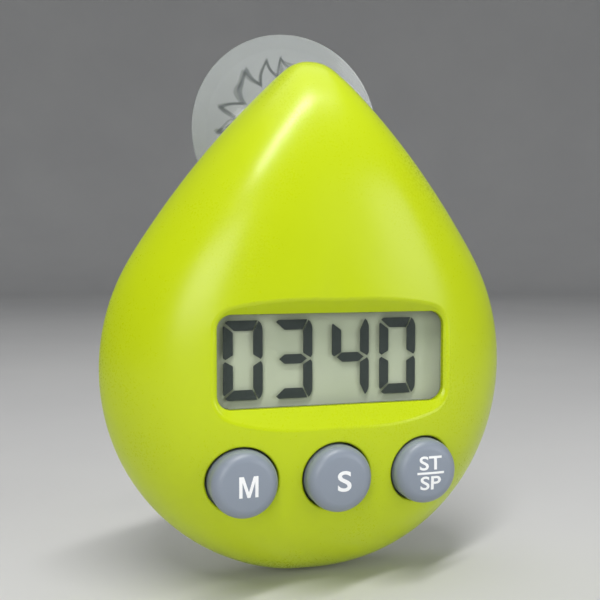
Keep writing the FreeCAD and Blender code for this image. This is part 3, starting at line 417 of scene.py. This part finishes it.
FINISHES = {
    "front_shell": lime, "rear_cover": lime_back, "battery_door": lime_door,
    "case_seal": grey_silicone, "door_oring": black_rubber, "battery_cell": steel,
    "contact_negative": steel, "contact_positive": steel, "display_lens": lens_clear,
    "lens_tape": tape_foam, "lcd_front_glass": cell_clear, "lcd_rear_glass": cell_clear,
    "lcd_reflector": reflector, "lcd_frame": white_plastic, "zebra_strips": grey_silicone,
    "circuit_board": board, "chip_blob": epoxy, "crystal_can": steel,
    "chip_resistors": chip_black, "chip_capacitors": chip_tan, "switch_bases": black_plastic,
    "snap_domes": steel, "minute_button": key_grey, "second_button": key_grey,
    "start_stop_button": key_grey, "minute_plunger": white_plastic,
    "second_plunger": white_plastic, "start_stop_plunger": white_plastic, "case_screws": zinc,
    "board_screws": zinc, "sounder_plate": brass, "sounder_ceramic": ceramic,
    "battery_wires": wire_red, "sounder_wires": wire_red, "suction_cup": vinyl,
}
for name, material in FINISHES.items():
    for material_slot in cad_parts[name].material_slots:
        material_slot.material = material

# Light reaches the reflector straight through the clear panes in front of it.
for name in ("display_lens", "lcd_front_glass", "lcd_rear_glass"):
    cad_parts[name].visible_shadow = False
    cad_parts[name].visible_diffuse = False
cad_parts["lcd_rear_glass"].visible_camera = False


# ---------------------------------------------------------------- mesh helpers
def put(name, mesh, body, material, smooth=True):
    """Adds a finished mesh as a piece that rides on a body."""
    mesh.materials.clear()
    mesh.materials.append(material)
    if smooth:
        mesh.shade_smooth()
    piece = bpy.data.objects.new(name, mesh)
    bpy.context.scene.collection.objects.link(piece)
    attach(piece, body)
    return piece


def frozen(holder):
    """Plain mesh of an object as it evaluates. The object is removed."""
    bpy.context.view_layer.update()
    graph = bpy.context.evaluated_depsgraph_get()
    mesh = bpy.data.meshes.new_from_object(holder.evaluated_get(graph))
    bpy.data.objects.remove(holder)
    return mesh


def prism(bm, outline, y_front, y_back):
    """Adds a flat plate with this (x, z) outline between two depths."""
    front = [bm.verts.new((x, y_front, z)) for x, z in outline]
    back = [bm.verts.new((x, y_back, z)) for x, z in outline]
    bm.faces.new(front)
    bm.faces.new(back[::-1])
    count = len(outline)
    for i in range(count):
        j = (i + 1) % count
        bm.faces.new((front[j], front[i], back[i], back[j]))


# ---------------------------------------------------------------- display digits
# In millimetres. Each digit's left edge is measured from the middle of the display.
DIGIT_HEIGHT = 13.95
DIGIT_LEFT = (-19.45, -10.35, 0.37, 9.47)
SEGMENTS_LIT = ("abcdef", "abcdg", "bcfg", "abcdef")


def segment_outlines():
    """The seven segments of one digit, in millimetres from its lower left corner."""
    h, mid = DIGIT_HEIGHT, DIGIT_HEIGHT / 2
    top = [(0.38, h - 0.38), (0.85, h), (6.10, h), (5.22, h - 1.80), (1.95, h - 1.80)]
    upper_right = [(6.34, h - 0.08), (6.72, h - 0.50), (7.0, h - 1.15), (7.06, h - 1.70),
                   (7.06, mid + 0.75), (6.72, mid + 0.18), (5.36, mid + 1.02), (5.36, h - 2.10)]
    upper_left = [(0.0, h - 1.15), (0.18, h - 0.88), (1.75, h - 2.08), (1.75, mid + 0.95),
                  (0.42, mid + 0.18), (0.0, mid + 0.55)]
    middle = [(0.95, mid), (1.95, mid + 0.85), (4.95, mid + 0.85), (6.05, mid), (4.95, mid - 0.85),
              (1.95, mid - 0.85)]

    def flipped(outline):
        return [(x, h - z) for x, z in reversed(outline)]

    return {"a": top, "b": upper_right, "f": upper_left, "g": middle, "d": flipped(top),
            "c": flipped(upper_right), "e": flipped(upper_left)}


def display_segments():
    """Dark segments of the four digits, as thick as the layer that they stand for."""
    low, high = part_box("lcd_crystal_layer")
    middle = (low.z + high.z) / 2
    shapes = segment_outlines()
    bm = bmesh.new()
    for left, lit in zip(DIGIT_LEFT, SEGMENTS_LIT):
        for letter in lit:
            outline = [((left + x) * MM, middle + (z - DIGIT_HEIGHT / 2) * MM)
                       for x, z in shapes[letter]]
            prism(bm, outline, low.y, high.y)
    bmesh.ops.recalc_face_normals(bm, faces=bm.faces)
    mesh = bpy.data.meshes.new("display_segments")
    bm.to_mesh(mesh)
    bm.free()
    piece = put("display_segments", mesh, "case", segment_ink, smooth=False)
    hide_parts("lcd_crystal_layer")


display_segments()


# ---------------------------------------------------------------- key legends
LEGEND_THICK = 0.00003
LEGEND_SHIFT = 0.3      # to the right of the key's axis, in millimetres
LETTER_HALF_DEPTH = 0.02
LARGE_LETTER = 3.6      # letter heights and the rule, in millimetres
SMALL_LETTER = 2.5
SMALL_LETTER_UP = 1.8
RULE_WIDTH = 5.2
RULE_HEIGHT = 0.4
LONGEST_EDGE = 0.5      # millimetres, so that letters follow the crown
DIVIDING_ROUNDS = 4
IN_FRONT_OF_KEY = 0.01
WIDEN_TEXT = 1.22


def node_surface(name):
    """Ray test against a CAD node's mesh."""
    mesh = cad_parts[name].data
    return BVHTree.FromPolygons([v.co for v in mesh.vertices], [p.vertices for p in mesh.polygons])


def letter_m():
    """Outline of a bold capital M, one unit tall."""
    wide, stroke = 0.92, 0.155
    half = wide / 2
    shoulder, foot = stroke * 1.45, stroke * 0.45
    inside_top, middle_top = 0.74, 0.27
    left = [(0.0, 0.0), (0.0, 1.0), (shoulder, 1.0), (half, middle_top)]
    right = [(wide - shoulder, 1.0), (wide, 1.0), (wide, 0.0), (wide - stroke, 0.0),
             (wide - stroke, inside_top), (half + foot, 0.0), (half - foot, 0.0),
             (stroke, inside_top), (stroke, 0.0)]
    return left + right


def plate_mesh(outline, thick):
    """Flat letter of this outline, as a mesh in the letter's own plane."""
    bm = bmesh.new()
    lower = [bm.verts.new((x, y, -thick)) for x, y in outline]
    upper = [bm.verts.new((x, y, thick)) for x, y in outline]
    bm.faces.new(lower)
    bm.faces.new(upper[::-1])
    for i in range(len(outline)):
        j = (i + 1) % len(outline)
        bm.faces.new((lower[i], upper[i], upper[j], lower[j]))
    mesh = bpy.data.meshes.new("letters")
    bm.to_mesh(mesh)
    bm.free()
    return mesh


def text_mesh(text):
    """Bold letters from the built-in typeface, as a mesh in the letters' own plane."""
    curve = bpy.data.curves.new("letters", "FONT")
    curve.body = text
    curve.align_x = "CENTER"
    curve.resolution_u = 6
    curve.extrude = LETTER_HALF_DEPTH
    curve.offset = 0.016
    holder = bpy.data.objects.new("letters", curve)
    bpy.context.scene.collection.objects.link(holder)
    return frozen(holder)


def lettering(text, height, x, z):
    """Closed flat letters of a given cap height, centred on (x, z), as vertices and faces."""
    if text == "M":
        mesh, widen = plate_mesh(letter_m(), LETTER_HALF_DEPTH), 1.0
    else:
        mesh, widen = text_mesh(text), WIDEN_TEXT
    tops = [v.co.y for v in mesh.vertices]
    sides = [v.co.x for v in mesh.vertices]
    scale = height / (max(tops) - min(tops))
    centre_x = (max(sides) + min(sides)) / 2
    centre_y = (max(tops) + min(tops)) / 2
    fine = bmesh.new()
    fine.from_mesh(mesh)
    bpy.data.meshes.remove(mesh)
    bmesh.ops.triangulate(fine, faces=fine.faces)
    for _ in range(DIVIDING_ROUNDS):
        long_edges = [e for e in fine.edges if e.calc_length() * scale > LONGEST_EDGE * MM]
        bmesh.ops.subdivide_edges(fine, edges=long_edges, cuts=1)
        bmesh.ops.triangulate(fine, faces=fine.faces)
    fine.verts.index_update()
    points = [(x + (v.co.x - centre_x) * scale * widen, z + (v.co.y - centre_y) * scale,
               v.co.z > 0) for v in fine.verts]
    faces = [[v.index for v in face.verts] for face in fine.faces]
    fine.free()
    return points, faces


def bar(x, z, width, height, steps=12):
    """A printed rule, divided so that it follows a curved key."""
    points = []
    faces = []
    for i in range(steps + 1):
        px = x - width / 2 + width * i / steps
        for pz in (z - height / 2, z + height / 2):
            points += [(px, pz, True), (px, pz, False)]
    for i in range(steps):
        a = 4 * i
        faces += [[a, a + 4, a + 6, a + 2], [a + 1, a + 3, a + 7, a + 5],
                  [a, a + 1, a + 5, a + 4], [a + 2, a + 6, a + 7, a + 3]]
    last = 4 * steps
    faces += [[0, 2, 3, 1], [last, last + 1, last + 3, last + 2]]
    return points, faces


def key_legend(button, marks, body):
    """Ink that lies on the crown of a key cap. Each mark is a text, its size and height."""
    low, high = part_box(button)
    x0, z0 = (low.x + high.x) / 2, (low.z + high.z) / 2
    skin = node_surface(button)
    bm = bmesh.new()
    for kind, size, dz in marks:
        place = (x0 + LEGEND_SHIFT * MM, z0 + dz * MM)
        if kind == "-":
            points, faces = bar(*place, size * MM, RULE_HEIGHT * MM)
        else:
            points, faces = lettering(kind, size * MM, *place)
        verts = []
        for x, z, front in points:
            start = Vector((x, low.y - IN_FRONT_OF_KEY, z))
            hit = skin.ray_cast(start, Vector((0, 1, 0)))[0]
            y = hit.y - LEGEND_THICK if front else hit.y + LEGEND_THICK / 2
            verts.append(bm.verts.new((x, y, z)))
        for face in {frozenset(face): face for face in faces}.values():
            bm.faces.new([verts[i] for i in face])
    bmesh.ops.remove_doubles(bm, verts=bm.verts, dist=1e-8)
    bmesh.ops.recalc_face_normals(bm, faces=bm.faces)
    mesh = bpy.data.meshes.new(button + "_legend")
    bm.to_mesh(mesh)
    bm.free()
    put(button + "_legend", mesh, body, legend_white, smooth=False)


key_legend("minute_button", [("M", LARGE_LETTER, 0)], "minute_key")
key_legend("second_button", [("S", LARGE_LETTER, 0)], "second_key")
key_legend("start_stop_button", [("ST", SMALL_LETTER, SMALL_LETTER_UP), ("-", RULE_WIDTH, 0),
                                 ("SP", SMALL_LETTER, -SMALL_LETTER_UP)], "start_stop_key")


# ---------------------------------------------------------------- door grip marks
def radial_ribs_tree():
    """Geometry node tree: rounded ribs set round a circle, each pointing outwards."""
    tree = bpy.data.node_groups.new("radial ribs", "GeometryNodeTree")
    add_inputs(tree, (("Count", "NodeSocketInt", 24),
                      ("Radius", "NodeSocketFloat", 0.01),
                      ("Rib Length", "NodeSocketFloat", 0.002),
                      ("Rib Width", "NodeSocketFloat", 0.0005),
                      ("Rib Height", "NodeSocketFloat", 0.0003),
                      ("Material", "NodeSocketMaterial", None)))
    add_outputs(tree, (("Geometry", "NodeSocketGeometry"),))
    inp = node(tree, "NodeGroupInput")
    out = node(tree, "NodeGroupOutput")
    ring = node(tree, "GeometryNodeMeshCircle")
    link(tree, inp.outputs["Count"], ring.inputs["Vertices"])
    link(tree, inp.outputs["Radius"], ring.inputs["Radius"])
    bead = node(tree, "GeometryNodeMeshUVSphere")
    bead.inputs["Segments"].default_value = 12
    bead.inputs["Rings"].default_value = 8
    bead.inputs["Radius"].default_value = 0.5
    size = node(tree, "ShaderNodeCombineXYZ")
    link(tree, inp.outputs["Rib Length"], size.inputs[0])
    link(tree, inp.outputs["Rib Width"], size.inputs[1])
    link(tree, inp.outputs["Rib Height"], size.inputs[2])
    shaped = node(tree, "GeometryNodeTransform")
    link(tree, bead.outputs["Mesh"], shaped.inputs["Geometry"])
    link(tree, size.outputs[0], shaped.inputs["Scale"])
    outward = node(tree, "FunctionNodeAlignRotationToVector", axis="X")
    link(tree, node(tree, "GeometryNodeInputPosition").outputs[0], outward.inputs["Vector"])
    spots = node(tree, "GeometryNodeInstanceOnPoints")
    link(tree, ring.outputs[0], spots.inputs["Points"])
    link(tree, shaped.outputs[0], spots.inputs["Instance"])
    link(tree, outward.outputs[0], spots.inputs["Rotation"])
    real = node(tree, "GeometryNodeRealizeInstances")
    link(tree, spots.outputs[0], real.inputs[0])
    smooth = node(tree, "GeometryNodeSetShadeSmooth")
    link(tree, real.outputs[0], smooth.inputs[0])
    painted = node(tree, "GeometryNodeSetMaterial")
    link(tree, smooth.outputs[0], painted.inputs["Geometry"])
    link(tree, inp.outputs["Material"], painted.inputs["Material"])
    link(tree, painted.outputs[0], out.inputs[0])
    return tree


def grown(name, tree, values):
    """Plain mesh from a geometry node tree with these named input values."""
    holder = bpy.data.objects.new(name, bpy.data.meshes.new(name))
    bpy.context.scene.collection.objects.link(holder)
    modifier = holder.modifiers.new("grow", "NODES")
    modifier.node_group = tree
    for item in tree.interface.items_tree:
        if item.in_out == "INPUT" and item.name in values:
            modifier[item.identifier] = values[item.name]
    return frozen(holder)


GRIP_RIBS = 36
GRIP_RING = 0.86      # this and the next two are shares of the door's radius
GRIP_LENGTH = 0.15
GRIP_WIDTH = 0.05
GRIP_HEIGHT = 0.0004


def door_grip():
    """Ring of small ribs on the battery door, for a thumb."""
    low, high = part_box("battery_door")
    centre = (low + high) / 2
    radius = (high.x - low.x) / 2
    mesh = grown("door_grip", radial_ribs_tree(), {
        "Count": GRIP_RIBS, "Radius": radius * GRIP_RING, "Rib Length": radius * GRIP_LENGTH,
        "Rib Width": radius * GRIP_WIDTH, "Rib Height": GRIP_HEIGHT, "Material": lime_door})
    upright = Matrix.Rotation(math.radians(90), 4, "X")
    mesh.transform(Matrix.Translation((centre.x, high.y, centre.z)) @ upright)
    put("door_grip", mesh, "door", lime_door)


door_grip()


# ---------------------------------------------------------------- studio
def floor_material():
    """Pale matt floor with faint shading."""
    material, tree, shader = blank("studio floor")
    coords = node(tree, "ShaderNodeTexCoord").outputs["Object"]
    soft = noise(tree, coords, 6.0, detail=4.0)
    link(tree, ramp(tree, soft, ((0.3, (0.60, 0.60, 0.60)), (0.7, (0.64, 0.64, 0.635)))),
         shader.inputs["Base Color"])
    link(tree, spread(tree, soft, 0.75, 0.9), shader.inputs["Roughness"])
    return material


def studio_bowl(radius, corner, height, base):
    """Floor that curves up into an even backdrop on every side."""
    bends, turns = 10, 64
    profile = [(radius, 0.0)]
    profile += [(radius + corner * math.sin(a), corner * (1 - math.cos(a)))
                for a in (math.pi / 2 * i / bends for i in range(1, bends + 1))]
    profile.append((radius + corner, height))
    bm = bmesh.new()
    rings = []
    for r, z in profile:
        rings.append([bm.verts.new((r * math.cos(2 * math.pi * k / turns),
                                    r * math.sin(2 * math.pi * k / turns), base + z))
                      for k in range(turns)])
    bm.faces.new(rings[0])
    for low, high in zip(rings, rings[1:]):
        for k in range(turns):
            j = (k + 1) % turns
            bm.faces.new((low[j], low[k], high[k], high[j]))
    mesh = bpy.data.meshes.new("studio_floor")
    bm.to_mesh(mesh)
    bm.free()
    mesh.shade_smooth()
    mesh.materials.append(floor_material())
    bowl = bpy.data.objects.new("studio_floor", mesh)
    bpy.context.scene.collection.objects.link(bowl)


def area_light(name, place, target, size, power, colour=(1, 1, 1)):
    """Square lamp that faces the target."""
    light = bpy.data.lights.new(name, "AREA")
    light.energy = power
    light.color = colour
    light.size = size
    holder = bpy.data.objects.new(name, light)
    holder.location = place
    direction = Vector(target) - Vector(place)
    holder.rotation_euler = direction.to_track_quat("-Z", "Y").to_euler()
    bpy.context.scene.collection.objects.link(holder)


def strip_light(name, start, end, target, width, power, colour):
    """Narrow lamp that runs from start to end and faces the target."""
    start, end = Vector(start), Vector(end)
    middle = (start + end) / 2
    back = (middle - Vector(target)).normalized()
    along = end - start
    along = (along - along.dot(back) * back).normalized()
    light = bpy.data.lights.new(name, "AREA")
    light.shape = "RECTANGLE"
    light.size = (end - start).length
    light.size_y = width
    light.energy = power
    light.color = colour
    holder = bpy.data.objects.new(name, light)
    turn = Matrix((along, back.cross(along), back)).transposed()
    holder.matrix_world = Matrix.Translation(middle) @ turn.to_4x4()
    bpy.context.scene.collection.objects.link(holder)


FLOOR_GAP = 0.0005
studio_bowl(radius=1.3, corner=0.5, height=1.6, base=CAD_BOX[0][2] - FLOOR_GAP)
BODY = (0.0, -0.025, -0.04)
strip_light("key", start=(0.112, -0.170, 0.467), end=(-0.214, -0.325, 0.338),
            target=(-0.01, -0.03, -0.01), width=0.035, power=1.7, colour=(1.0, 0.99, 0.97))
area_light("glow", (-0.45, -0.65, 0.18), BODY, size=0.35, power=1.8)
area_light("fill", (0.75, -0.85, 0.25), BODY, size=0.6, power=3.2, colour=(0.96, 0.98, 1.0))
area_light("top", (0.0, 0.05, 0.75), BODY, size=0.7, power=1.6)
world = bpy.data.worlds.new("studio air")
world.use_nodes = True
sky = world.node_tree.nodes["Background"]
sky.inputs["Color"].default_value = (0.90, 0.92, 0.95, 1)
sky.inputs["Strength"].default_value = 0.27
bpy.context.scene.world = world
bpy.context.scene.view_settings.view_transform = "Standard"


# ---------------------------------------------------------------- camera
def add_camera(place, right, up, forward, lens):
    """Camera that looks along forward, with right and up as the picture's own directions."""
    data = bpy.data.cameras.new("camera")
    data.lens = lens
    data.sensor_width = 36.0
    data.clip_start = 0.01
    camera = bpy.data.objects.new("camera", data)
    turn = Matrix((right, up, [-c for c in forward])).transposed()
    camera.matrix_world = Matrix.Translation(place) @ turn.to_4x4()
    bpy.context.scene.collection.objects.link(camera)
    bpy.context.scene.camera = camera


add_camera(place=(-0.04676, -0.17057, -0.02668), right=(0.95994, -0.28019, -0.00030),
           up=(0.01403, 0.04700, 0.99880), forward=(0.27984, 0.95879, -0.04905), lens=49.98)
